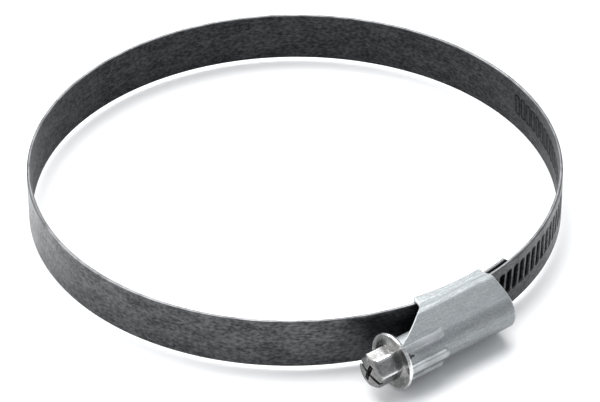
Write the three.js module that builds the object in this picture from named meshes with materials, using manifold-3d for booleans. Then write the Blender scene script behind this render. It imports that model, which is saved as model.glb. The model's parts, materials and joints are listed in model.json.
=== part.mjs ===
// Worm-drive hose clamp, 12 mm band, 90 to 110 mm range, drawn fully open.
// Millimetres. +Z is the axis of the ring, the housing is at -Y, and the screw lies along X
// with its head towards -X. The origin is the bottom centre of the clamp's bounding box.
import * as THREE from 'three';
import { mergeVertices } from 'three/addons/utils/BufferGeometryUtils.js';
import Module from 'manifold-3d';

const wasm = await Module();
wasm.setup();

// ---- driving dimensions -------------------------------------------------------------------
const RING_CENTRE = new THREE.Vector3(-0.465, 5.17, 7.05); // where the toothed arc's centre stands

const BAND_WIDTH = 12;
const BAND_THICKNESS = 0.9;
const TOOTHED_RADIUS = 60.4; // middle of the sheet in the toothed end
const FIXED_RADIUS = 59.05; // middle of the sheet in the layer under it
const TOUCH_GAP = 0.3; // clearance between neighbouring pieces

// Bearings are degrees round the ring from the housing, positive towards +X.
const TONGUE_END = 14.3;
const FIXED_END = -16; // first hinge of the band, just outside the housing's left mouth
const LINK_COUNT = 16;
const LINK_STEPS = 5; // flat facets along one link
const FIXED_END_STEPS = 12;
const SCARF = 3.4; // degrees of slant where the links meet the toothed end
const TONGUE_TRIM = 2; // size of the corners cut off the tongue
const FREE_END_TRIM = 1.4;

const PITCH = 2.5; // distance between slots along the band, and the worm's lead
const SLOT_WIDTH = 1.5;
const SLOT_LENGTH = 6.3;
const SLOT_DEPTH = 0.62;
const SLOT_LEAN = 5.8; // degrees, the worm's lead angle
const SLOTS_BEFORE = 3; // slots between the one under the worm's middle and the free end
const SLOTS_AFTER = 34;
const PLAIN_STEPS = 9; // slot pitches of plain band between the last slot and the links

const WORM_CREST = 3.9;
const WORM_ROOT = 2.9;
const WORM_MESH = 0.5; // how deep the thread reaches into the slots
const WORM_START = -18.5;
const WORM_TURNS = 9;
const CREST_WIDTH = 0.7;
const FLANK_WIDTH = 0.35;

const FLANGE_RADIUS = 6.5;
const FLANGE_X = -24.4; // rim of the flange, which is dished towards the head
const FLANGE_THICKNESS = 0.9;
const HEX_ACROSS_FLATS = 7;
const HEX_LENGTH = 5.9;
const HEX_CORNER_TURN = 24; // degrees from +Z towards -Y
const DOME_HEIGHT = 0.45;
const RECESS_TURN = 110; // direction of the long slot, degrees from +Z towards -Y
const LONG_SLOT = { length: 8.2, width: 0.9, depth: 1.3 };
const CROSS_SLOT = { length: 4.6, width: 1.1, depth: 1.9 };
const FLANGE_BOSS = 1.3; // the flange's thickness at the hexagon
const FLANGE_ROUND = 0.2;
const CHAMFER_RADIUS = 4.2; // where the head's end chamfer starts, just outside its corners
const CHAMFER_LENGTH = 0.9;
const FACE_RADIUS = 3.35; // of the head's end inside the chamfer
const TIP_RADIUS = 2.4;
const TIP_LENGTH = 0.6; // how far the tip stands out of the barrel

const SHEET = 0.75; // housing sheet
const BORE_RADIUS = WORM_CREST + 0.25;
const BARREL_RADIUS = BORE_RADIUS + SHEET;
const COLLAR_RADIUS = 5.6;
const COLLAR_START = FLANGE_X + FLANGE_THICKNESS + TOUCH_GAP;
const COLLAR_END = -12;
const BARREL_END = 6.9;
const END_WALL = 0.8;
const MOUTH_GAP = 0.25; // round the screw's neck and tip
const LEFT_MOUTH = -12.6; // where the housing's ends cross the band
const RIGHT_MOUTH = 5;
const SWEEP_END = -20.5; // where the left edge has swept out to the collar
const THROAT_START = -15.5;
const SEAM_WIDTH = 0.4;
const OVERLAP = 0.4; // how far the screw's parts run into each other

const SCREW_Y = TOOTHED_RADIUS + BAND_THICKNESS / 2 + WORM_CREST - WORM_MESH;
const CHANNEL_INNER = FIXED_RADIUS - BAND_THICKNESS / 2 - TOUCH_GAP;
const CHANNEL_OUTER = TOOTHED_RADIUS + BAND_THICKNESS / 2 + TOUCH_GAP;
const CHANNEL_HALF_WIDTH = BAND_WIDTH / 2 + TOUCH_GAP;

const SLOT_STEP = THREE.MathUtils.radToDeg(PITCH / TOOTHED_RADIUS);
const FREE_END = -(SLOTS_BEFORE + 0.5) * SLOT_STEP;
const TOOTHED_ROOT = (SLOTS_AFTER + PLAIN_STEPS + 0.5) * SLOT_STEP;
const FOOT_Y = 50; // nearer the ring's centre than the housing reaches
const OUTSIDE_Y = 75; // beyond the housing
const BEYOND = 20; // past the housing along X or Z
const LONG = 400; // longer than anything it cuts

// ---- materials ----------------------------------------------------------------------------
const bandSteel = { color: 0x5d5f63, roughness: 0.42, metalness: 0.9 };
const housingSteel = { color: 0xaab0b3, roughness: 0.38, metalness: 0.85 };
const screwSteel = { color: 0xb4b3b6, roughness: 0.25, metalness: 0.95 };

// ---- geometry helpers ---------------------------------------------------------------------
function toSolid(geometry) {
  const bare = geometry.clone();
  bare.deleteAttribute('normal');
  bare.deleteAttribute('uv');
  const merged = mergeVertices(bare, 1e-5);
  return new wasm.Manifold(new wasm.Mesh({
    numProp: 3,
    vertProperties: new Float32Array(merged.attributes.position.array),
    triVerts: new Uint32Array(merged.index.array),
  }));
}

function toGeometry(solid) {
  const mesh = solid.getMesh();
  const geometry = new THREE.BufferGeometry();
  geometry.setAttribute('position', new THREE.BufferAttribute(mesh.vertProperties, 3));
  geometry.setIndex(new THREE.BufferAttribute(mesh.triVerts, 1));
  geometry.computeVertexNormals();
  return geometry;
}

function prismAlongZ(points, bottom, top) {
  const shape = new THREE.Shape(points.map(([x, y]) => new THREE.Vector2(x, y)));
  const geometry = new THREE.ExtrudeGeometry(shape, { depth: top - bottom, bevelEnabled: false });
  return toSolid(geometry.translate(0, 0, bottom));
}

// Points are [y, z]; the prism runs along X.
function prismAlongX(points, left, right) {
  const shape = new THREE.Shape(points.map(([y, z]) => new THREE.Vector2(y, z)));
  const geometry = new THREE.ExtrudeGeometry(shape, { depth: right - left, bevelEnabled: false });
  const turn = new THREE.Matrix4().makeBasis(
    new THREE.Vector3(0, 1, 0), new THREE.Vector3(0, 0, 1), new THREE.Vector3(1, 0, 0));
  return toSolid(geometry.applyMatrix4(turn).translate(left, 0, 0));
}

// Profile points are [x, radius] from one end of the screw axis to the other.
function turnedOnScrewAxis(profile, sides = 32) {
  const points = profile.map(([x, radius]) => new THREE.Vector2(radius, x));
  const geometry = new THREE.LatheGeometry(points, sides);
  return toSolid(geometry.rotateZ(-Math.PI / 2).translate(0, -SCREW_Y, 0));
}

function cylinderOnScrewAxis(radius, left, right) {
  return turnedOnScrewAxis([[left, 0], [left, radius], [right, radius], [right, 0]]);
}

function cylinderOnRingAxis(radius, bottom, top) {
  const geometry = new THREE.CylinderGeometry(radius, radius, top - bottom, 180);
  return toSolid(geometry.rotateX(Math.PI / 2).translate(0, 0, (top + bottom) / 2));
}

function pointOnRing(radius, bearing) {
  const angle = THREE.MathUtils.degToRad(bearing);
  return [radius * Math.sin(angle), -radius * Math.cos(angle)];
}

// A length of band between two bearings, where radiusAt(bearing) is the middle of the sheet.
// For a slanting butt the outer face starts lateStart degrees late, or runs on by lateEnd.
function bandArc(from, to, radiusAt, steps, lateStart = 0, lateEnd = 0) {
  const outer = [];
  const inner = [];
  for (let i = 0; i <= steps; i += 1) {
    const outerBearing = THREE.MathUtils.lerp(from + lateStart, to, i / steps);
    const innerBearing = THREE.MathUtils.lerp(from, to, i / steps);
    outer.push(pointOnRing(radiusAt(outerBearing) + BAND_THICKNESS / 2, outerBearing));
    inner.push(pointOnRing(radiusAt(innerBearing) - BAND_THICKNESS / 2, innerBearing));
  }
  if (lateEnd > 0) {
    outer.push(pointOnRing(radiusAt(to) + BAND_THICKNESS / 2, to + lateEnd));
  }
  return prismAlongZ(outer.concat(inner.reverse()), -BAND_WIDTH / 2, BAND_WIDTH / 2);
}

// Cuts both corners off the end of a band that stops at the given bearing.
function trimCorners(band, bearing, radius, direction, size) {
  let trimmed = band;
  for (const side of [-1, 1]) {
    const box = new THREE.BoxGeometry(size * 2, 6, size * 2);
    box.rotateY(Math.PI / 4);
    box.scale(1, 1, 1.5);
    box.translate(0, -radius, side * BAND_WIDTH / 2);
    box.translate(direction * size * 0.2, 0, side * size * 0.55);
    box.rotateZ(THREE.MathUtils.degToRad(bearing));
    trimmed = trimmed.subtract(toSolid(box));
  }
  return trimmed;
}

// ---- the band -----------------------------------------------------------------------------
const HALF_GAP = THREE.MathUtils.radToDeg(TOUCH_GAP / 2 / TOOTHED_RADIUS);
const SCARF_GAP = 6 * HALF_GAP; // along the band, as the slanting faces lie close together

// The links follow a slow spiral from the inner layer out to the toothed end's circle.
function linkRadius(bearing) {
  const turned = (FIXED_END - bearing) / (FIXED_END + 360 - TOOTHED_ROOT);
  return THREE.MathUtils.lerp(FIXED_RADIUS, TOOTHED_RADIUS, turned);
}

function fixedEnd() {
  const arc = bandArc(FIXED_END + HALF_GAP, TONGUE_END, () => FIXED_RADIUS, FIXED_END_STEPS);
  return trimCorners(arc, TONGUE_END, FIXED_RADIUS, 1, TONGUE_TRIM);
}

function bandLink(index) {
  const span = (FIXED_END + 360 - TOOTHED_ROOT) / LINK_COUNT;
  const start = FIXED_END - index * span;
  const last = index === LINK_COUNT - 1;
  const gap = last ? SCARF_GAP : HALF_GAP;
  return bandArc(start - span + gap, start - HALF_GAP, linkRadius, LINK_STEPS, last ? SCARF : 0);
}

function slotCutter(index) {
  const height = 2;
  const cutter = new THREE.BoxGeometry(SLOT_WIDTH, height, SLOT_LENGTH);
  cutter.rotateY(THREE.MathUtils.degToRad(SLOT_LEAN));
  const floor = TOOTHED_RADIUS + BAND_THICKNESS / 2 - SLOT_DEPTH;
  cutter.translate(0, -floor - height / 2, 0);
  return toSolid(cutter.rotateZ(THREE.MathUtils.degToRad(index * SLOT_STEP)));
}

function toothedEnd() {
  const steps = SLOTS_BEFORE + SLOTS_AFTER + PLAIN_STEPS + 1;
  let band = bandArc(FREE_END, TOOTHED_ROOT, () => TOOTHED_RADIUS, steps, 0, SCARF);
  band = trimCorners(band, FREE_END, TOOTHED_RADIUS, -1, FREE_END_TRIM);
  for (let i = -SLOTS_BEFORE; i <= SLOTS_AFTER; i += 1) {
    band = band.subtract(slotCutter(i));
  }
  return band;
}

// ---- the screw ----------------------------------------------------------------------------
// Radius of the right-hand thread at a distance x along the axis and an angle round it, where
// a crest lies at angle 0, the side that faces the band, when x is 0.
function threadRadius(x, angle) {
  const turns = (x / PITCH - angle / (2 * Math.PI));
  const fromCrest = Math.abs(turns - Math.round(turns)) * PITCH;
  const down = THREE.MathUtils.clamp((fromCrest - CREST_WIDTH / 2) / FLANK_WIDTH, 0, 1);
  return THREE.MathUtils.lerp(WORM_CREST, WORM_ROOT, down);
}

function worm() {
  const sides = 20;
  const rowsPerTurn = 7;
  const length = WORM_TURNS * PITCH;
  const geometry = new THREE.CylinderGeometry(
    WORM_ROOT, WORM_ROOT, length, sides, WORM_TURNS * rowsPerTurn);
  geometry.rotateZ(-Math.PI / 2).translate(WORM_START + length / 2, 0, 0);
  const place = geometry.attributes.position;
  for (let i = 0; i < place.count; i += 1) {
    const radius = Math.hypot(place.getY(i), place.getZ(i));
    if (radius > 0.1) {
      const angle = Math.atan2(place.getZ(i), place.getY(i));
      const grow = threadRadius(place.getX(i), angle) / radius;
      place.setXYZ(i, place.getX(i), place.getY(i) * grow, place.getZ(i) * grow);
    }
  }
  return toSolid(geometry.translate(0, -SCREW_Y, 0));
}

function hexPrism(left, right) {
  const corner = HEX_ACROSS_FLATS / 2 / Math.cos(Math.PI / 6);
  const points = [];
  for (let i = 0; i < 6; i += 1) {
    const angle = THREE.MathUtils.degToRad(HEX_CORNER_TURN + 60 * i);
    points.push([-SCREW_Y - corner * Math.sin(angle), corner * Math.cos(angle)]);
  }
  return prismAlongX(points.reverse(), left, right);
}

function recessBlade(slot, turn, end) {
  const blade = new THREE.BoxGeometry(2 * slot.depth, slot.width, slot.length);
  blade.rotateX(THREE.MathUtils.degToRad(turn));
  return toSolid(blade.translate(end, -SCREW_Y, 0));
}

function screw() {
  const headEnd = FLANGE_X - HEX_LENGTH;
  const back = FLANGE_X + FLANGE_THICKNESS;
  const wormEnd = WORM_START + WORM_TURNS * PITCH;
  const collar = turnedOnScrewAxis([
    [back - FLANGE_BOSS, 0],
    [back - FLANGE_BOSS, CHAMFER_RADIUS],
    [FLANGE_X, FLANGE_RADIUS - FLANGE_ROUND],
    [FLANGE_X + FLANGE_ROUND, FLANGE_RADIUS],
    [back, FLANGE_RADIUS - 2 * FLANGE_ROUND],
    [back, 0],
  ], 40);
  const neck = cylinderOnScrewAxis(WORM_ROOT, back - OVERLAP, WORM_START + OVERLAP);
  const tip = turnedOnScrewAxis([
    [wormEnd - OVERLAP, 0],
    [wormEnd - OVERLAP, TIP_RADIUS],
    [BARREL_END + TIP_LENGTH / 3, TIP_RADIUS - 0.2],
    [BARREL_END + TIP_LENGTH, TIP_RADIUS - 0.7],
    [BARREL_END + TIP_LENGTH, 0],
  ], 24);
  const dome = turnedOnScrewAxis([
    [headEnd - DOME_HEIGHT, 0],
    [headEnd - DOME_HEIGHT * 0.8, 2],
    [headEnd, FACE_RADIUS],
    [headEnd + CHAMFER_LENGTH, CHAMFER_RADIUS],
    [back, CHAMFER_RADIUS],
    [back, 0],
  ], 36);
  const hex = hexPrism(headEnd - 2 * DOME_HEIGHT, back - OVERLAP).intersect(dome);
  const longSlot = recessBlade(LONG_SLOT, RECESS_TURN, headEnd - DOME_HEIGHT);
  const crossSlot = recessBlade(CROSS_SLOT, RECESS_TURN - 90, headEnd - DOME_HEIGHT);
  return worm().add(neck).add(tip).add(collar).add(hex).subtract(longSlot).subtract(crossSlot);
}

// ---- the housing --------------------------------------------------------------------------
// Section across the screw axis: a flat-sided foot as wide as the band's channel, closing in
// to a round barrel. Points are [y, z].
function hoodSection(footHalfWidth, shoulder, radius, foot) {
  const lean = Math.atan2(shoulder - SCREW_Y, footHalfWidth);
  const reach = Math.hypot(footHalfWidth, shoulder - SCREW_Y);
  const tangent = lean + Math.acos(radius / reach);
  const points = [[-foot, footHalfWidth], [-shoulder, footHalfWidth]];
  const arcSteps = 10;
  for (let i = 0; i <= arcSteps; i += 1) {
    const angle = THREE.MathUtils.lerp(tangent, Math.PI - tangent, i / arcSteps);
    points.push([-SCREW_Y - radius * Math.sin(angle), radius * Math.cos(angle)]);
  }
  points.push([-shoulder, -footHalfWidth], [-foot, -footHalfWidth]);
  return points;
}

// Outline of the hood seen along the ring's axis; the left edge sweeps out to the collar.
function hoodOutline() {
  const shape = new THREE.Shape();
  const sweepY = SCREW_Y - BARREL_RADIUS / 10;
  shape.moveTo(LEFT_MOUTH, -FOOT_Y);
  shape.lineTo(RIGHT_MOUTH, -FOOT_Y);
  shape.lineTo(RIGHT_MOUTH + OVERLAP, -FIXED_RADIUS);
  shape.quadraticCurveTo(BARREL_END - OVERLAP, -CHANNEL_OUTER, BARREL_END, -SCREW_Y - SHEET);
  shape.lineTo(BARREL_END, -OUTSIDE_Y);
  shape.lineTo(SWEEP_END, -OUTSIDE_Y);
  shape.lineTo(SWEEP_END, -sweepY);
  shape.quadraticCurveTo(THROAT_START, -sweepY + SHEET, LEFT_MOUTH - OVERLAP, -FIXED_RADIUS);
  return shape.getPoints(6).map((p) => [p.x, p.y]);
}

function housing() {
  const foot = hoodSection(CHANNEL_HALF_WIDTH + SHEET, CHANNEL_OUTER, BARREL_RADIUS, FOOT_Y);
  const hood = prismAlongX(foot, SWEEP_END - BEYOND, BARREL_END + BEYOND)
    .intersect(prismAlongZ(hoodOutline(), -BEYOND, BEYOND))
    .subtract(cylinderOnRingAxis(CHANNEL_INNER - SHEET, -BEYOND, BEYOND));
  const barrel = cylinderOnScrewAxis(BARREL_RADIUS, SWEEP_END + OVERLAP, BARREL_END);
  const collar = cylinderOnScrewAxis(COLLAR_RADIUS, COLLAR_START, COLLAR_END);

  const bore = cylinderOnScrewAxis(BORE_RADIUS, COLLAR_START + END_WALL, BARREL_END - END_WALL);
  const mouths = cylinderOnScrewAxis(
    WORM_ROOT + MOUTH_GAP, COLLAR_START - END_WALL, BARREL_END + END_WALL);
  const inside = hoodSection(CHANNEL_HALF_WIDTH, CHANNEL_OUTER, BORE_RADIUS, CHANNEL_OUTER - 3);
  const throat = prismAlongX(inside, THROAT_START, BARREL_END - END_WALL);
  const channel = cylinderOnRingAxis(CHANNEL_OUTER, -CHANNEL_HALF_WIDTH, CHANNEL_HALF_WIDTH);
  const floor = cylinderOnRingAxis(CHANNEL_INNER, -BEYOND, BEYOND);
  const seam = prismAlongZ(
    [[-LONG, -LONG], [LONG, -LONG], [LONG, 0], [-LONG, 0]], -SEAM_WIDTH / 2, SEAM_WIDTH / 2);

  return hood.add(barrel).add(collar)
    .subtract(bore)
    .subtract(mouths)
    .subtract(throat.subtract(floor))
    .subtract(channel.subtract(floor))
    .subtract(seam.intersect(floor));
}

// ---- the assembly -------------------------------------------------------------------------
const clamp = new THREE.Group();
clamp.position.copy(RING_CENTRE);

function addPart(name, solid, look) {
  const mesh = new THREE.Mesh(toGeometry(solid), new THREE.MeshStandardMaterial(look));
  mesh.name = name;
  clamp.add(mesh);
}

addPart('worm_housing', housing(), housingSteel);
addPart('clamp_screw', screw(), screwSteel);
addPart('band_fixed_end', fixedEnd(), bandSteel);
for (let i = 0; i < LINK_COUNT; i += 1) {
  addPart(`band_link_${String(i + 1).padStart(2, '0')}`, bandLink(i), bandSteel);
}
addPart('band_toothed_end', toothedEnd(), bandSteel);

export default clamp;
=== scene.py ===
"""A worm-drive hose clamp: the looks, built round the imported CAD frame.

Shapes are worked out in millimetres from the ring's centre, with +Z along the ring's axis, the
housing at -Y and the screw's head towards -X. They are turned into the frame's metres when a mesh
is made. A bearing is in degrees round the ring from the housing, positive towards +X.
"""

import json
import math

import bmesh
import bpy
from mathutils import Matrix, Vector


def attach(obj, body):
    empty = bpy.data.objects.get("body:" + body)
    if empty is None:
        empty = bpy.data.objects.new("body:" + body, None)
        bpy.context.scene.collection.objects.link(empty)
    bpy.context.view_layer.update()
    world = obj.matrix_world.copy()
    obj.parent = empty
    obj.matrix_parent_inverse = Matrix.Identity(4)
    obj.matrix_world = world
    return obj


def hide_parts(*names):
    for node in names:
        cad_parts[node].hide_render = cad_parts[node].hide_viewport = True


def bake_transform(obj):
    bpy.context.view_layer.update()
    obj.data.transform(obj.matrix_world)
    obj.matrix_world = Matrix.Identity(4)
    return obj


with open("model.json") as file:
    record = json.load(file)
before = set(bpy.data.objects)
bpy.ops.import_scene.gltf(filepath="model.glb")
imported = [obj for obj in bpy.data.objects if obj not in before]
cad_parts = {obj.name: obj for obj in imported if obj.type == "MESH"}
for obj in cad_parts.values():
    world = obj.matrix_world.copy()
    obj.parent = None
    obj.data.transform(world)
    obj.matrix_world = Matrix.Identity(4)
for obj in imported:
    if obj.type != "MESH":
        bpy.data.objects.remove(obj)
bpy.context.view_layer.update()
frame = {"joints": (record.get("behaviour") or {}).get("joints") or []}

MM = 0.001
joints = {joint["name"]: joint for joint in frame["joints"]}
RING_CENTRE = Vector(joints["band_feed"]["pos_m"])
SCREW_RADIUS = (RING_CENTRE.y - joints["screw_turn"]["pos_m"][1]) / MM

# The band
WIDTH = 12.0
THICKNESS = 0.9
EDGE_ROUND = 0.34
# brightens the band's rims: edge wear, and a highlight painted along them
RIM_WEAR_AND_HIGHLIGHT = 0.55
SCARF = 3.4  # degrees of slant where the last link meets the toothed end
BUTT_GAP = 0.05
TONGUE_END = 14.3  # bearing of the fixed end's tip
TONGUE_TRIM = 2.0
FREE_END_TRIM = 1.4
STRIP_STEPS = 20
TONGUE_STEPS = 26
FACE = 0.01  # a point this near to a face of the sheet lies on it
PITCH = 2.5  # distance between slots, and the thread's lead
SLOTS_BEFORE = 3
SLOTS_AFTER = 34
PLAIN_STEPS = 9  # slot pitches of plain band between the last slot and the links
SLOT_HALF_WIDTH = 0.84
SLOT_HALF_LENGTH = 2.95
ISLAND_HALF_LENGTH = 2.4  # of the outline that a slot leaves on the inside of the band
SLOT_CENTRE = 0.8
SLOT_CORNER = 0.5
SLOT_DEPTH = 0.56
SLOT_WALL = 0.09
SLOT_LEAN = math.tan(math.radians(5.8))
OUTLINE_DEPTH = 0.14
# painted shade on the band's inner face, as a share of near-black
INNER_PAINTED_SHADE = 0.5
# painted shade along the outlines that the slots press into the inner face
OUTLINE_PAINTED_SHADE = 0.93
WALL_STEPS = (-0.2, -SLOT_WALL, 0, SLOT_WALL, 0.2)  # columns of points by each slot's wall

# The housing, whose section is given as distance r from the ring's axis and height z
SHEET = 0.75
RIM = 0.2  # rounding of the sheet's cut edges
FLOOR = 57.7
WALL = 6.95
SEAM = 0.2  # half the gap between the sheet's ends
LIP_ROUND = 0.85
LIP_TURN = 72
CROWN = (61.2, 4.85)
CROWN_ROUND = 2.2
CROWN_FROM = 108
BARREL = 4.85
BARREL_STEPS = 48
CURVED_TO = 58.4  # up to here the sheet follows the ring, and from the next it is straight
STRAIGHT_FROM = 60.3
LEFT_MOUTH = -12.0
RIGHT_MOUTH = 5.4
LEFT_SWEEP = 8.3  # how far out from the floor the left edge takes to reach the collar
LEFT_CURVE = 1.7
RIGHT_SWEEP_FROM = 59.6
RIGHT_SWEEP = 6.0
RIGHT_CURVE = 0.6
COLLAR_LEFT = -23.2
BARREL_RIGHT = 6.4
NOTCH = 2.1
NOTCH_TURN = 56
NOTCH_HALF_TURN = 10
BEAD_HEIGHT = 0.75
BEAD_END = -12.4
BEAD_HALF_WIDTH = 1.25
BEAD_TURNS = (36, 90, 144)
PLATE = 0.7
CHAMFER = 0.1

# The screw, where a turn is in degrees from +Z towards -Y
FLANGE = 6.5
FLANGE_FRONT = -24.45
FLANGE_BACK = -23.5
HEAD_END = -30.3
HEX_FLAT = 3.5
HEX_CORNER = 3.93
HEX_TURN = 24
DOME = 0.45
HEAD_CHAMFER = 0.9
HEAD_FACE = 3.35  # radius of the head's end inside the chamfer
CHAMFER_START = 4.1
RECESS_TURN = 110
LONG_SLOT = (9, 0.9, 1.3)  # length, width and depth
CROSS_SLOT = (4.6, 1.15, 1.9)
THREAD_FROM = -18.5
THREAD_TO = 4.0
CREST = 3.9
ROOT = 2.9
THREAD_MESH = 0.5  # how deep the thread reaches into the slots
THREAD_FADE = 1.2
NECK_HOLE = ROOT + 0.25

# Colours, and the stage in metres and degrees
# painted shade: the near-black that darkens the slots and the band's inner face, and the end of the
# head, where it is shade with some stain
PAINTED_SHADE_COLOUR = (0.004, 0.004, 0.005, 1.0)
FLOOR_COLOUR = (0.93, 0.93, 0.93, 1)
FLOOR_HALF_SIZE = 3.0
SKY_COLOUR = (0.93, 0.96, 1.0, 1)
SKY_STRENGTH = 0.62
LENS = 212.3  # in millimetres, for a sensor of 36
CAMERA_TURN = -38.3  # about the ring's axis
CAMERA_SPOT = Vector((0.0015, -0.651997, 0.4674))  # from the ring's centre, before that turn
CAMERA_PITCH = 35.95
CAMERA_ROLL = -0.32


def smooth(edge0, edge1, value):
    t = min(1.0, max(0.0, (value - edge0) / (edge1 - edge0)))
    return t * t * (3 - 2 * t)


def lerp(a, b, t):
    return a + (b - a) * t


# ---- materials --------------------------------------------------------------------------------
def noise_layer(nodes, links, source, scale, detail, stretch):
    """A noise texture on the piece's own unrolled coordinates, in millimetres."""
    mapping = nodes.new("ShaderNodeMapping")
    mapping.inputs["Scale"].default_value = stretch
    noise = nodes.new("ShaderNodeTexNoise")
    noise.inputs["Scale"].default_value = scale
    noise.inputs["Detail"].default_value = detail
    links.new(source, mapping.inputs["Vector"])
    links.new(mapping.outputs["Vector"], noise.inputs["Vector"])
    return noise.outputs["Fac"]


def ramp(nodes, links, source, stops):
    node = nodes.new("ShaderNodeValToRGB")
    elements = node.color_ramp.elements
    while len(elements) < len(stops):
        elements.new(0.5)
    for element, (place, colour) in zip(elements, stops):
        element.position = place
        element.color = (*colour, 1)
    links.new(source, node.inputs["Fac"])
    return node.outputs["Color"]


def mix_colour(nodes, links, factor, a, b, blend="MIX"):
    node = nodes.new("ShaderNodeMix")
    node.data_type = "RGBA"
    node.blend_type = blend
    for socket, value in (("Factor_Float", factor), ("A_Color", a), ("B_Color", b)):
        target = next(s for s in node.inputs if s.identifier == socket)
        if isinstance(value, (float, tuple)):
            target.default_value = value
        else:
            links.new(value, target)
    return next(s for s in node.outputs if s.identifier == "Result_Color")


def math_node(nodes, links, operation, a, b):
    node = nodes.new("ShaderNodeMath")
    node.operation = operation
    for socket, value in zip(node.inputs, (a, b)):
        if isinstance(value, (int, float)):
            socket.default_value = value
        else:
            links.new(value, socket)
    return node.outputs["Value"]


def map_range(nodes, links, source, low, high, to_low, to_high):
    node = nodes.new("ShaderNodeMapRange")
    values = (("From Min", low), ("From Max", high), ("To Min", to_low), ("To Max", to_high))
    for name, value in values:
        node.inputs[name].default_value = value
    links.new(source, node.inputs["Value"])
    return node.outputs["Result"]


def attribute(nodes, name, output):
    node = nodes.new("ShaderNodeAttribute")
    node.attribute_name = name
    return node.outputs[output]


def zinc(name, dark, light, worn_and_highlight, metallic, roughness, grain, spangle, lines, scratches, bump):
    """Zinc-plated steel. dark and light are the ends of its mottling, and the worn colour is that of
    rubbed edges, of the highlight painted along the band's rims, and of scratches. grain and
    spangle are noise scales, and lines and scratches stretch the rolling marks and the scratches."""
    material = bpy.data.materials.new(name)
    material.use_nodes = True
    nodes, links = material.node_tree.nodes, material.node_tree.links
    shader = nodes["Principled BSDF"]
    shader.inputs["Metallic"].default_value = metallic
    flat = attribute(nodes, "flat", "Vector")
    wear_and_highlight = attribute(nodes, "wear_and_highlight", "Fac")
    painted_shade = attribute(nodes, "painted_shade", "Fac")

    fine = noise_layer(nodes, links, flat, grain, 6, (0.6, 1, 1))
    patches = noise_layer(nodes, links, flat, spangle, 3, (0.5, 1, 1))
    rolled = noise_layer(nodes, links, flat, 1.0, 2, lines)
    mottle = math_node(nodes, links, "ADD", math_node(nodes, links, "MULTIPLY", fine, 0.7),
                       math_node(nodes, links, "MULTIPLY", patches, 0.3))
    colour = ramp(nodes, links, mottle, [(0.38, dark), (0.62, light)])
    streak = ramp(nodes, links, rolled, [(0.3, (0.8, 0.8, 0.8)), (0.75, (1, 1, 1))])
    colour = mix_colour(nodes, links, 0.8, colour, streak, "MULTIPLY")
    # rubbed edges lighten the colour; on the band's rims this is also a painted highlight
    rubbed_and_highlight = math_node(nodes, links, "MULTIPLY", wear_and_highlight, map_range(
        nodes, links, patches, 0.35, 0.6, 0.35, 1.0))
    colour = mix_colour(nodes, links, rubbed_and_highlight, colour, (*worn_and_highlight, 1.0))
    marks = map_range(nodes, links, noise_layer(nodes, links, flat, 1.0, 1, scratches),
                      0.66, 0.72, 0, 0.35)
    colour = mix_colour(nodes, links, marks, colour, (*worn_and_highlight, 1.0))
    # painted shade: the mask darkens the colour towards near-black
    colour = mix_colour(nodes, links, painted_shade, colour, PAINTED_SHADE_COLOUR)
    links.new(colour, shader.inputs["Base Color"])

    rough = map_range(nodes, links, mottle, 0.35, 0.65, roughness[1], roughness[0])
    rough = math_node(nodes, links, "ADD", rough, map_range(
        nodes, links, rolled, 0.3, 0.7, 0.05, -0.05))
    rough = math_node(nodes, links, "MULTIPLY", rough, map_range(
        nodes, links, wear_and_highlight, 0, 1, 1.0, 0.75))
    rough = math_node(nodes, links, "ADD", rough, math_node(nodes, links, "MULTIPLY", painted_shade, 0.4))
    links.new(rough, shader.inputs["Roughness"])

    height = math_node(nodes, links, "ADD", fine, math_node(
        nodes, links, "MULTIPLY", rolled, 0.8))
    height = math_node(nodes, links, "SUBTRACT", height, marks)
    bumped = nodes.new("ShaderNodeBump")
    bumped.inputs["Strength"].default_value = bump
    bumped.inputs["Distance"].default_value = 0.02 * MM
    links.new(height, bumped.inputs["Height"])
    links.new(bumped.outputs["Normal"], shader.inputs["Normal"])
    return material


band_zinc = zinc("band_zinc", (0.032, 0.033, 0.035), (0.1, 0.102, 0.106), (0.26, 0.26, 0.265),
                 1.0, (0.30, 0.42), 1.7, 0.35, (0.06, 9, 2),
                 (0.3, 12, 6), 0.5)
housing_zinc = zinc("housing_zinc", (0.24, 0.257, 0.264), (0.31, 0.328, 0.333), (0.62, 0.64, 0.65),
                    0.75, (0.46, 0.56), 2.4, 0.5, (0.2, 3, 1),
                    (0.5, 6, 2), 0.2)
screw_zinc = zinc("screw_zinc", (0.23, 0.228, 0.225), (0.36, 0.357, 0.352), (0.80, 0.80, 0.80),
                  1.0, (0.18, 0.30), 1.8, 0.7, (6, 0.4, 0.4),
                  (4, 1, 1), 0.35)


# ---- pieces -----------------------------------------------------------------------------------
def add_attribute(mesh, name, kind, values):
    made = mesh.attributes.new(name, kind, "POINT")
    field = "vector" if kind == "FLOAT_VECTOR" else "value"
    made.data.foreach_set(field, values)


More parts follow.
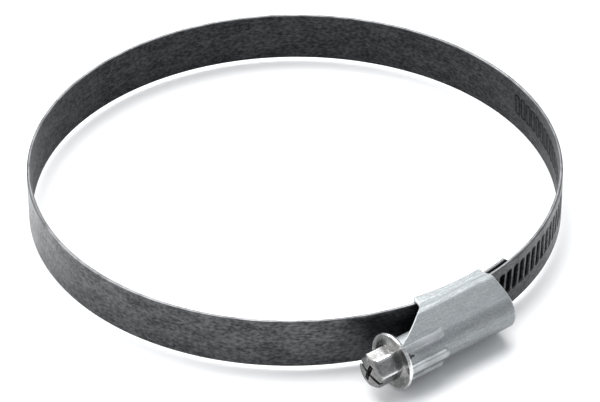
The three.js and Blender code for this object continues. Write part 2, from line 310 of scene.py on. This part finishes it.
def build(name, points, faces, material, flat, wear_and_highlight=None, painted_shade=None, sharp=32):
    """A mesh object from points in millimetres. flat is each point's unrolled place, for the
    material, wear is how rubbed it is there, with a painted highlight on the band's rims, and the
    last list how much painted shade darkens it."""
    mesh = bpy.data.meshes.new(name)
    mesh.from_pydata([RING_CENTRE + Vector(p) * MM for p in points], [], faces)
    add_attribute(mesh, "flat", "FLOAT_VECTOR", [c for place in flat for c in place])
    add_attribute(mesh, "wear_and_highlight", "FLOAT", wear_and_highlight or [0.0] * len(points))
    add_attribute(mesh, "painted_shade", "FLOAT", painted_shade or [0.0] * len(points))
    tidy = bmesh.new()
    tidy.from_mesh(mesh)
    bmesh.ops.recalc_face_normals(tidy, faces=tidy.faces)
    tidy.to_mesh(mesh)
    tidy.free()
    mesh.shade_smooth()
    mesh.set_sharp_from_angle(angle=math.radians(sharp))
    mesh.materials.append(material)
    piece = bpy.data.objects.new(name, mesh)
    bpy.context.scene.collection.objects.link(piece)
    return piece


def on_ring(radius, bearing, z):
    angle = math.radians(bearing)
    return (radius * math.sin(angle), -radius * math.cos(angle), z)


def round_axis(x, radius, turn):
    """A place on the screw measured from its own axis, for the material."""
    angle = math.radians(turn)
    return (x, radius * math.sin(angle), radius * math.cos(angle))


def on_screw(x, radius, turn):
    angle = math.radians(turn)
    return (x, -SCREW_RADIUS - radius * math.sin(angle), radius * math.cos(angle))


def quads(a, b, columns, close=True):
    """Faces between two rows of points, where a and b are the numbers of their first points."""
    faces = []
    for k in range(columns if close else columns - 1):
        after = (k + 1) % columns
        faces.append((a + k, a + after, b + after, b + k))
    return faces


def capped_tube(rows, columns):
    """Faces of a tube of closed rows, with both of its ends filled."""
    faces = []
    for i in range(rows - 1):
        faces += quads(i * columns, (i + 1) * columns, columns)
    last = (rows - 1) * columns
    return faces + [tuple(range(columns)), tuple(range(last, last + columns))]


# ---- the band ---------------------------------------------------------------------------------
hinges = [joints[name] for name in sorted(joints) if name.startswith("band_flex_")]
LINKS = len(hinges)


def hinge_place(joint):
    """Radius and bearing of a hinge, from its point in the frame."""
    offset = (Vector(joint["pos_m"]) - RING_CENTRE) / MM
    return offset.xy.length, math.degrees(math.atan2(offset.x, -offset.y))


FIXED_RADIUS, FIXED_END = hinge_place(hinges[0])
TOOTHED_RADIUS = SCREW_RADIUS - CREST + THREAD_MESH - THICKNESS / 2
SLOT_STEP = math.degrees(PITCH / TOOTHED_RADIUS)
FREE_END = -(SLOTS_BEFORE + 0.5) * SLOT_STEP
TOOTHED_ROOT = (SLOTS_AFTER + PLAIN_STEPS + 0.5) * SLOT_STEP
LINK_SPAN = (FIXED_END + 360 - TOOTHED_ROOT) / LINKS
FIRST_BEND = FIXED_END + LINK_SPAN / 4  # inside the housing's left mouth


def link_radius(bearing):
    """The links follow a slow spiral from the inner layer out to the toothed end's circle."""
    if bearing > FIXED_END:
        return FIXED_RADIUS
    return lerp(FIXED_RADIUS, TOOTHED_RADIUS, (FIXED_END - bearing) / (LINK_SPAN * LINKS))


def band_profile(stops):
    """Closed outline of the band's section as (z, depth), where the stops are heights on each
    face and depth is how far the point lies outside the middle of the sheet."""
    half, deep = WIDTH / 2, THICKNESS / 2
    stops = [z for z in stops if abs(z) < half - EDGE_ROUND]
    corner = []
    for step in range(5):
        angle = math.radians(90 - 22.5 * step)
        corner.append((half - EDGE_ROUND + EDGE_ROUND * math.cos(angle),
                       deep - EDGE_ROUND + EDGE_ROUND * math.sin(angle)))
    upper = corner + [(z, -depth) for z, depth in reversed(corner)]
    lower = [(-z, depth) for z, depth in reversed(upper)]
    outer = [(z, deep) for z in stops]
    inner = [(z, -deep) for z in reversed(stops)]
    return outer + upper + inner + lower


# how far a rim is brightened: wear on the edge, and a painted highlight along it
def rim_wear_and_highlight(z):
    return smooth(WIDTH / 2 - 0.4, WIDTH / 2 - 0.05, abs(z)) * RIM_WEAR_AND_HIGHLIGHT


PLAIN = band_profile([-5.2, -4.4, -2.2, 0, 2.2, 4.4, 5.2])


def strip(name, start, end, radius_at, start_cut=None, end_cut=None, steps=STRIP_STEPS):
    """A plain length of band. A cut gives how far, in degrees, a point at (z, depth) stands off
    its end of the band."""
    points, flat, wear_and_highlight, painted_shade = [], [], [], []
    for i in range(steps + 1):
        t = i / steps
        for z, depth in PLAIN:
            first = start + (start_cut(z, depth) if start_cut else 0)
            last = end + (end_cut(z, depth) if end_cut else 0)
            bearing = lerp(start, end, t)
            bearing += (first - start) * (1 - t) ** 3 + (last - end) * t ** 3
            radius = radius_at(bearing) + depth
            points.append(on_ring(radius, bearing, z))
            flat.append((math.radians(bearing) * TOOTHED_RADIUS, z, depth))
            wear_and_highlight.append(rim_wear_and_highlight(z))
            # painted shade: the band's inner face is darkened towards near-black
            painted_shade.append(INNER_PAINTED_SHADE if depth < FACE - THICKNESS / 2 else 0.0)
    faces = capped_tube(steps + 1, len(PLAIN))
    piece = build(name, points, faces, band_zinc, flat, wear_and_highlight, painted_shade)
    return piece


def scarf(z, depth):
    """A cut on a slant through the sheet's thickness, the same all across the band."""
    return SCARF * (depth / THICKNESS + 0.5)


def trimmed(size, direction):
    """A cut that takes both corners off an end of the band."""
    def cut(z, depth):
        taken = max(0.0, abs(z) - (WIDTH / 2 - size))
        return -direction * math.degrees(taken / TOOTHED_RADIUS)
    return cut


def fixed_end():
    piece = strip("band_tongue", FIRST_BEND, TONGUE_END, lambda b: FIXED_RADIUS,
                  end_cut=trimmed(TONGUE_TRIM, 1), steps=TONGUE_STEPS)
    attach(piece, "housing")
    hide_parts("band_fixed_end")


def flexing_band():
    """Each piece runs from the middle of one link to the middle of the next, across the hinge
    between them."""
    for k, joint in enumerate(hinges):
        hinge = FIXED_END - k * LINK_SPAN
        start = FIRST_BEND if k == 0 else hinge + LINK_SPAN / 2
        end = hinge - LINK_SPAN / 2
        piece = strip(f"band_bend_{k + 1:02d}", end, start, link_radius)
        places = [on_ring(link_radius(b), b, 0) for b in (start, end)]
        places = [RING_CENTRE + Vector(place) * MM for place in places]
        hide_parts(f"band_link_{k + 1:02d}")
        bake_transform(piece)


def butt():
    """The last half link, which ends in a slant under the toothed end."""
    root = TOOTHED_ROOT - 360
    gap = math.degrees(BUTT_GAP / TOOTHED_RADIUS)
    piece = strip("band_butt", root + gap, root + LINK_SPAN / 2, link_radius, start_cut=scarf)
    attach(piece, hinges[-1]["child"])


def slot_distance(across, along, half_length):
    """Distance from the edge of a round-cornered slot, negative inside it."""
    x = abs(across) - (SLOT_HALF_WIDTH - SLOT_CORNER)
    y = abs(along) - (half_length - SLOT_CORNER)
    return math.hypot(max(x, 0), max(y, 0)) + min(max(x, y), 0) - SLOT_CORNER


def toothed_columns():
    """Places along the band, in millimetres, and the slot that each one belongs to."""
    columns = []
    offsets = [-PITCH / 2]
    offsets += [-SLOT_HALF_WIDTH + step for step in WALL_STEPS]
    offsets += [-PITCH / 10, PITCH / 10]
    offsets += [SLOT_HALF_WIDTH + step for step in WALL_STEPS]
    for slot in range(-SLOTS_BEFORE, SLOTS_AFTER + 1):
        columns += [(slot * PITCH + offset, slot) for offset in offsets]
    for step in range(PLAIN_STEPS * 4 + 1):
        columns.append(((SLOTS_AFTER + 0.5 + step / 4) * PITCH, None))
    return columns


def toothed_section():
    """The band's section, with close rows of points at the ends of the slots."""
    ends = [1.9, 2.1, 2.3, 2.45, 2.55, 2.65, 2.75, 2.85, 2.95, 3.05, 3.15, 3.35, 3.7]
    stops = [-z for z in reversed(ends)] + [-1.2, -0.4, 0.4, 1.2] + ends
    return band_profile([-5.4, -4.9, -4.2] + [z + SLOT_CENTRE for z in stops] + [4.6, 5.2])


def pressed(across, z, depth):
    """Where a point of the sheet goes once the slots are pressed, and how much painted shade darkens
    it there.
    """
    half_length = SLOT_HALF_LENGTH if depth > 0 else ISLAND_HALF_LENGTH
    distance = slot_distance(across, z - SLOT_CENTRE, half_length)
    sunk = smooth(SLOT_WALL, -SLOT_WALL, distance)
    # painted shade: black inside the slots on the outer face
    if depth > THICKNESS / 2 - FACE:
        return depth - SLOT_DEPTH * sunk, smooth(0.03, -0.1, distance)
    if depth < FACE - THICKNESS / 2:
        # painted shade along the pressed outlines, on top of the inner face's own painted shade
        outline = smooth(0.3, 0.06, abs(distance))
        outline_shade = (OUTLINE_PAINTED_SHADE - INNER_PAINTED_SHADE) * max(outline, 0.35 * sunk)
        return depth + OUTLINE_DEPTH * outline, INNER_PAINTED_SHADE + outline_shade
    return depth, 0.0


def toothed_end():
    first, last = FREE_END * PITCH / SLOT_STEP, TOOTHED_ROOT * PITCH / SLOT_STEP
    trim = trimmed(FREE_END_TRIM, -1)
    profile = toothed_section()
    columns = toothed_columns()
    points, flat, wear_and_highlight, painted_shade = [], [], [], []
    for place, slot in columns:
        across = PITCH if slot is None else place - slot * PITCH
        upright = smooth(first, first + PITCH / 4, place) * smooth(last, last - PITCH, place)
        for z, depth in profile:
            leaning = SLOT_LEAN * (1 - smooth(3.7, 5.2, abs(z))) * upright
            along = place + leaning * z
            depth, painted_shade_here = pressed(across, z, depth)
            bearing = along / PITCH * SLOT_STEP
            bearing += trim(z, depth) * smooth(first + 3 * PITCH, first, place)
            bearing += scarf(z, depth) * smooth(last - 3 * PITCH, last, place)
            points.append(on_ring(TOOTHED_RADIUS + depth, bearing, z))
            flat.append((along, z, depth))
            wear_and_highlight.append(rim_wear_and_highlight(z))
            painted_shade.append(painted_shade_here)
    faces = capped_tube(len(columns), len(profile))
    piece = build("band_toothed", points, faces, band_zinc, flat, wear_and_highlight, painted_shade, sharp=40)
    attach(piece, "toothed_end")
    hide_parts("band_toothed_end")


# ---- the housing ------------------------------------------------------------------------------
def arc(centre, radius, start, end, steps):
    """Points (r, z) and outward normals of an arc; angles run from +r towards +z."""
    made = []
    for i in range(steps + 1):
        angle = math.radians(lerp(start, end, i / steps))
        normal = (math.cos(angle), math.sin(angle))
        made.append((centre[0] + radius * normal[0], centre[1] + radius * normal[1], normal))
    return made


def groove(start, end, steps):
    """A soft crease from one rounded part of the section to the next, tangent to both."""
    (r0, z0, n0), (r1, z1, n1) = start, end
    along0, along1 = (n0[1], -n0[0]), (n1[1], -n1[0])
    cross = along0[0] * along1[1] - along0[1] * along1[0]
    reach = ((r1 - r0) * along1[1] - (z1 - z0) * along1[0]) / cross
    corner = (r0 + along0[0] * reach, z0 + along0[1] * reach)
    made = []
    for i in range(1, steps):
        t = i / steps
        r = (1 - t) ** 2 * r0 + 2 * t * (1 - t) * corner[0] + t * t * r1
        z = (1 - t) ** 2 * z0 + 2 * t * (1 - t) * corner[1] + t * t * z1
        dr = (1 - t) * (corner[0] - r0) + t * (r1 - corner[0])
        dz = (1 - t) * (corner[1] - z0) + t * (z1 - corner[1])
        size = math.hypot(dr, dz)
        made.append((r, z, (-dz / size, dr / size)))
    return made


def tangent_angle():
    """Where a straight line leaves the crown's arc and meets the barrel's, found by halving."""
    low, high = 30.0, 89.0
    for _ in range(40):
        middle = (low + high) / 2
        angle = math.radians(middle)
        apart = (SCREW_RADIUS - CROWN[0]) * math.cos(angle) + BARREL - CROWN_ROUND
        if apart > CROWN[1] * math.sin(angle):
            low = middle
        else:
            high = middle
    return middle


def straight(start, end, steps):
    """The points between two ends of arcs that share a tangent."""
    made = []
    for i in range(1, steps):
        t = i / steps
        made.append((lerp(start[0], end[0], t), lerp(start[1], end[1], t), start[2]))
    return made


def wrap_profile():
    """The outside of the sheet from the seam under the band, over the upper lip and the crown,
    round the barrel and back to the seam: (r, z, normal, turn), where turn is None off the
    barrel."""
    lip = arc((FLOOR + LIP_ROUND, WALL - LIP_ROUND), LIP_ROUND, 180, LIP_TURN, 9)
    leave = tangent_angle()
    crown = arc(CROWN, CROWN_ROUND, CROWN_FROM, leave, 10)
    barrel = arc((SCREW_RADIUS, 0), BARREL, leave, 0, BARREL_STEPS)
    half = [(FLOOR, z, (-1.0, 0.0), None) for z in (SEAM, 1.5, 3, 4.5)]
    half += [(*p, None) for p in lip]
    half += [(*p, None) for p in groove(lip[-1], crown[0], 9)]
    half += [(*p, None) for p in crown]
    half += [(*p, None) for p in straight(crown[-1], barrel[0], 12)]
    half += [(*p, 90 - lerp(leave, 0, i / BARREL_STEPS)) for i, p in enumerate(barrel)]
    other = []
    for r, z, normal, turn in reversed(half[:-1]):
        other.append((r, -z, (normal[0], -normal[1]), None if turn is None else 180 - turn))
    return half + other


def share(value, start, reach):
    return min(1.0, max(0.0, (value - start) / reach))


def left_edge(r, turn):
    """Where the sheet starts: it sweeps from the band's mouth out to the collar, which has a
    small notch."""
    x = lerp(LEFT_MOUTH, COLLAR_LEFT, share(r, FLOOR, LEFT_SWEEP) ** LEFT_CURVE)
    if turn is not None:
        x += NOTCH * max(0.0, 1 - abs(turn - NOTCH_TURN) / NOTCH_HALF_TURN)
    return x


def right_edge(r):
    swept = share(r, RIGHT_SWEEP_FROM, RIGHT_SWEEP) ** RIGHT_CURVE
    return lerp(RIGHT_MOUTH, BARREL_RIGHT, swept)


def bead(x, turn):
    """Height of the pressed ribs that stiffen the collar."""
    if turn is None:
        return 0.0
    raised = 0.0
    for middle in BEAD_TURNS:
        across = math.radians(turn - middle) * (BARREL + BEAD_HEIGHT)
        beyond = max(0.0, x - (BEAD_END - BEAD_HALF_WIDTH))
        raised = max(raised, smooth(BEAD_HALF_WIDTH + 0.12, BEAD_HALF_WIDTH - 0.5,
                                    math.hypot(across, beyond)))
    return raised * BEAD_HEIGHT


def sheet_loop(left, right):
    """Places round the sheet's thickness as (x, depth), with rounded rims."""
    outer_steps = 100
    inner_steps = 16
    near = RIM * 0.3
    loop = [(lerp(left + RIM, right - RIM, i / outer_steps), 0.0) for i in range(outer_steps + 1)]
    loop += [(right - near, near), (right, RIM), (right, SHEET - RIM), (right - near, SHEET - near)]
    loop += [(lerp(right - RIM, left + RIM, i / inner_steps), SHEET) for i in range(inner_steps + 1)]
    loop += [(left + near, SHEET - near), (left, SHEET - RIM), (left, RIM), (left + near, near)]
    return loop


def housing_wrap():
    points, flat, wear_and_highlight = [], [], []
    profile = wrap_profile()
    round_sheet = 0.0
    before = profile[0]
    for r, z, normal, turn in profile:
        round_sheet += math.hypot(r - before[0], z - before[1])
        before = (r, z)
        left, right = left_edge(r, turn), right_edge(r)
        for x, depth in sheet_loop(left, right):
            raised = bead(x, turn)
            out = raised - depth
            place_r, place_z = r + normal[0] * out, z + normal[1] * out
            drop = place_r - math.sqrt(place_r ** 2 - x * x)
            drop *= 1 - smooth(CURVED_TO, STRAIGHT_FROM, place_r)
            points.append((x, drop - place_r, place_z))
            flat.append((x, round_sheet, depth))
            wear_and_highlight.append(0.8 * smooth(0.45, 0.05, min(x - left, right - x)) + 0.5 * raised)
    faces = capped_tube(len(profile), len(points) // len(profile))
    piece = build("housing_wrap", points, faces, housing_zinc, flat, wear_and_highlight, sharp=50)
    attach(piece, "housing")
    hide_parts("worm_housing")


def turned(name, outline, material, body, sides=64, close=False, wear_at=None):
    """A piece turned on the screw's axis from an outline of (x, radius). An open outline starts
    and ends on the axis, and a closed one makes a ring."""
    points, flat, wear_and_highlight = [], [], []
    for i in range(sides):
        turn = 360 * i / sides
        for x, radius in outline:
            points.append(on_screw(x, radius, turn))
            flat.append(round_axis(x, radius, turn))
            wear_and_highlight.append(wear_at(x, radius) if wear_at else 0.0)
    columns = len(outline)
    faces = []
    for i in range(sides):
        faces += quads(i * columns, (i + 1) % sides * columns, columns, close)
    piece = build(name, points, faces, material, flat, wear_and_highlight)
    weld(piece)
    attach(piece, body)
    return piece


def weld(piece):
    """Joins the points that an outline has on the axis, and drops the faces this leaves flat."""
    tidy = bmesh.new()
    tidy.from_mesh(piece.data)
    bmesh.ops.remove_doubles(tidy, verts=tidy.verts, dist=1e-7)
    bmesh.ops.dissolve_degenerate(tidy, edges=tidy.edges, dist=1e-8)
    bmesh.ops.recalc_face_normals(tidy, faces=tidy.faces)
    tidy.to_mesh(piece.data)
    tidy.free()


def housing_rings():
    """The inside of the collar, closed at its end, and the bearing plate at the barrel's end."""
    outer, inner = BARREL - SHEET - 0.02, NECK_HOLE + CHAMFER
    end = COLLAR_LEFT + 0.05
    wall = PLATE + CHAMFER
    collar = [(end + RIM, outer), (end + RIM * 0.3, outer - RIM * 0.3), (end, outer - RIM),
              (end, inner), (end + CHAMFER, NECK_HOLE), (end + PLATE, NECK_HOLE),
              (end + wall, inner), (LEFT_MOUTH, inner), (LEFT_MOUTH, outer)]
    turned("housing_collar", collar, housing_zinc, "housing", close=True)
    right = BARREL_RIGHT - 0.15
    rim = BARREL - 0.3
    plate = [(right - PLATE, rim), (right - CHAMFER, rim), (right, rim - CHAMFER), (right, inner),
             (right - CHAMFER, NECK_HOLE), (right - PLATE, NECK_HOLE)]
    turned("housing_end_plate", plate, housing_zinc, "housing", close=True)


# ---- the screw --------------------------------------------------------------------------------
def screw_body():
    """The dished flange with its rolled rim, the neck behind it, and the tip."""
    front, back = FLANGE_FRONT, FLANGE_BACK
    outline = [(front - 0.35, 0), (front - 0.35, 3.5), (front - 0.3, 4.0), (front - 0.12, 4.5),
               (front + 0.02, 5.1), (front + 0.05, 5.7), (front - 0.02, 6.05),
               (front - 0.06, 6.2), (front - 0.02, 6.36), (front + 0.1, 6.47),
               (front + 0.25, FLANGE), (front + 0.45, 6.46), (back - 0.12, 6.3),
               (back - 0.02, 6.1), (back, 5.9), (back, NECK_HOLE), (back + 0.2, ROOT),
               (THREAD_FROM + 0.4, ROOT), (THREAD_FROM + 0.4, 0)]
    piece = turned("screw_flange", outline, screw_zinc, "screw", 96,
                   wear_at=lambda x, r: smooth(6.0, 6.3, r))
    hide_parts("clamp_screw")
    tip = [(THREAD_TO - 0.3, 0), (THREAD_TO - 0.3, 2.5), (BARREL_RIGHT + 0.1, 2.35),
           (BARREL_RIGHT + 0.45, 2.0), (BARREL_RIGHT + 0.6, 1.6), (BARREL_RIGHT + 0.6, 0)]
    turned("screw_tip", tip, screw_zinc, "screw")


def screw_thread():
    """The worm: a right-hand thread whose crest faces the band where x is 0."""
    sides = 40
    rows_per_turn = 14
    rows = round((THREAD_TO - THREAD_FROM) / PITCH * rows_per_turn) + 1
    points, flat, wear_and_highlight = [], [], []
    for i in range(rows):
        x = lerp(THREAD_FROM, THREAD_TO, i / (rows - 1))
        ending = smooth(THREAD_FROM, THREAD_FROM + THREAD_FADE, x)
        ending *= smooth(THREAD_TO, THREAD_TO - THREAD_FADE, x)
        for k in range(sides):
            turn = 360 * k / sides
            turns = x / PITCH - (270 - turn) / 360
            from_crest = abs(turns - round(turns)) * PITCH
            crest = smooth(0.75, 0.35, from_crest)
            radius = ROOT + (CREST - ROOT) * crest * ending
            points.append(on_screw(x, radius, turn))
            flat.append(round_axis(x, radius, turn))
            wear_and_highlight.append(crest * 0.7)
    piece = build("screw_thread", points, capped_tube(rows, sides), screw_zinc, flat, wear_and_highlight)
    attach(piece, "screw")


def head_rows():
    """Sections of the head as (x, largest radius), from inside the flange to the domed end."""
    base = FLANGE_FRONT - 0.2
    chamfer = HEAD_END + HEAD_CHAMFER
    rows = [(lerp(base, chamfer, i / 6), FLANGE) for i in range(7)]
    for i in range(1, 9):
        rows.append((lerp(chamfer, HEAD_END, i / 8), lerp(CHAMFER_START, HEAD_FACE, i / 8)))
    for i in range(1, 7):
        radius = HEAD_FACE * math.cos(math.radians(90 * i / 7))
        rows.append((HEAD_END - DOME * (1 - (radius / HEAD_FACE) ** 2), radius))
    return rows


def hex_radius(turn):
    from_flat = (turn - HEX_TURN) % 60 - 30
    return min(HEX_FLAT / math.cos(math.radians(from_flat)), HEX_CORNER)


def recess_cutter(size, turn):
    """A box across the head, sunk to its depth below the top of the dome."""
    length, width, depth = size
    mesh = bpy.data.meshes.new("cutter")
    tool = bmesh.new()
    bmesh.ops.create_cube(tool, size=1)
    tool.to_mesh(mesh)
    tool.free()
    above = 2
    middle = HEAD_END - DOME + (depth - above) / 2
    place = Matrix.Translation(RING_CENTRE + Vector(on_screw(middle, 0, 0)) * MM)
    place @= Matrix.Rotation(math.radians(turn), 4, "X")
    box = Vector((depth + above, width, length)) * MM
    mesh.transform(place @ Matrix.Diagonal((*box, 1)))
    cutter = bpy.data.objects.new("cutter", mesh)
    bpy.context.scene.collection.objects.link(cutter)
    return cutter


def apply_modifiers(piece):
    depsgraph = bpy.context.evaluated_depsgraph_get()
    made = bpy.data.meshes.new_from_object(piece.evaluated_get(depsgraph))
    piece.modifiers.clear()
    piece.data = made


def plain_head():
    sides = 96
    points, flat, wear_and_highlight, painted_shade = [], [], [], []
    rows = head_rows()
    for x, limit in rows:
        for k in range(sides):
            turn = HEX_TURN + 360 * k / sides
            radius = min(hex_radius(turn), limit)
            points.append(on_screw(x, radius, turn))
            flat.append(round_axis(x, radius, turn))
            wear_and_highlight.append(smooth(3.7, 3.95, radius))
            # the end of the head darkens towards the dome: painted shade, with some stain
            painted_shade.append(0.4 * smooth(HEAD_END + 0.6, HEAD_END, x))
    faces = capped_tube(len(rows), sides)
    return build("screw_head", points, faces, screw_zinc, flat, wear_and_highlight, painted_shade)


def screw_head():
    """The hexagon with its domed end, its recess for two kinds of driver, and eased edges."""
    piece = plain_head()
    cutters = [recess_cutter(LONG_SLOT, RECESS_TURN), recess_cutter(CROSS_SLOT, RECESS_TURN - 90)]
    for cutter in cutters:
        cut = piece.modifiers.new("recess", "BOOLEAN")
        cut.object = cutter
        cut.operation = "DIFFERENCE"
        cut.solver = "EXACT"
    soften = piece.modifiers.new("soften", "BEVEL")
    soften.width = 0.09 * MM
    soften.segments = 2
    soften.limit_method = "ANGLE"
    soften.angle_limit = math.radians(50)
    apply_modifiers(piece)
    for cutter in cutters:
        bpy.data.objects.remove(cutter)
    piece.data.shade_smooth()
    piece.data.set_sharp_from_angle(angle=math.radians(28))
    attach(piece, "screw")


# ---- floor, light and camera ------------------------------------------------------------------
def stage_floor():
    half = FLOOR_HALF_SIZE
    mesh = bpy.data.meshes.new("floor")
    corners = [(-half, -half, 0), (half, -half, 0), (half, half, 0), (-half, half, 0)]
    mesh.from_pydata(corners, [], [(0, 1, 2, 3)])
    material = bpy.data.materials.new("floor")
    material.use_nodes = True
    shader = material.node_tree.nodes["Principled BSDF"]
    shader.inputs["Base Color"].default_value = FLOOR_COLOUR
    shader.inputs["Roughness"].default_value = 0.9
    shader.inputs["Specular IOR Level"].default_value = 0.0
    mesh.materials.append(material)
    floor = bpy.data.objects.new("floor", mesh)
    bpy.context.scene.collection.objects.link(floor)


def softbox(name, place, target, size, power):
    light = bpy.data.lights.new(name, "AREA")
    light.shape = "RECTANGLE"
    light.size, light.size_y = size
    light.energy = power
    lamp = bpy.data.objects.new(name, light)
    lamp.location = place
    lamp.rotation_euler = (Vector(target) - Vector(place)).to_track_quat("-Z", "Y").to_euler()
    bpy.context.scene.collection.objects.link(lamp)


def studio():
    world = bpy.data.worlds.new("studio")
    world.use_nodes = True
    background = world.node_tree.nodes["Background"]
    background.inputs["Color"].default_value = SKY_COLOUR
    background.inputs["Strength"].default_value = SKY_STRENGTH
    bpy.context.scene.world = world
    softbox("top_light", (0.1, 0.35, 0.9), (0, 0, 0), (1.2, 0.9), 17)
    softbox("back_light", (0.5, 0.74, 0.46), (0, 0, 0), (0.5, 0.3), 1.5)
    softbox("left_light", (-0.62, 0.55, 0.4), (0, 0, 0), (0.8, 0.6), 4)
    bpy.context.scene.view_settings.view_transform = "Standard"


def camera():
    data = bpy.data.cameras.new("camera")
    data.lens = LENS
    data.sensor_width = 36
    data.clip_start = 0.01
    made = bpy.data.objects.new("camera", data)
    turn = Matrix.Rotation(math.radians(CAMERA_TURN), 4, "Z")
    tilt = Matrix.Rotation(math.radians(90 - CAMERA_PITCH), 4, "X")
    roll = Matrix.Rotation(math.radians(CAMERA_ROLL), 4, "Z")
    made.matrix_world = Matrix.Translation(RING_CENTRE + turn @ CAMERA_SPOT) @ turn @ tilt @ roll
    bpy.context.scene.collection.objects.link(made)
    bpy.context.scene.camera = made


camera()
studio()
stage_floor()
fixed_end()
flexing_band()
butt()
toothed_end()
housing_wrap()
housing_rings()
screw_body()
screw_thread()
screw_head()
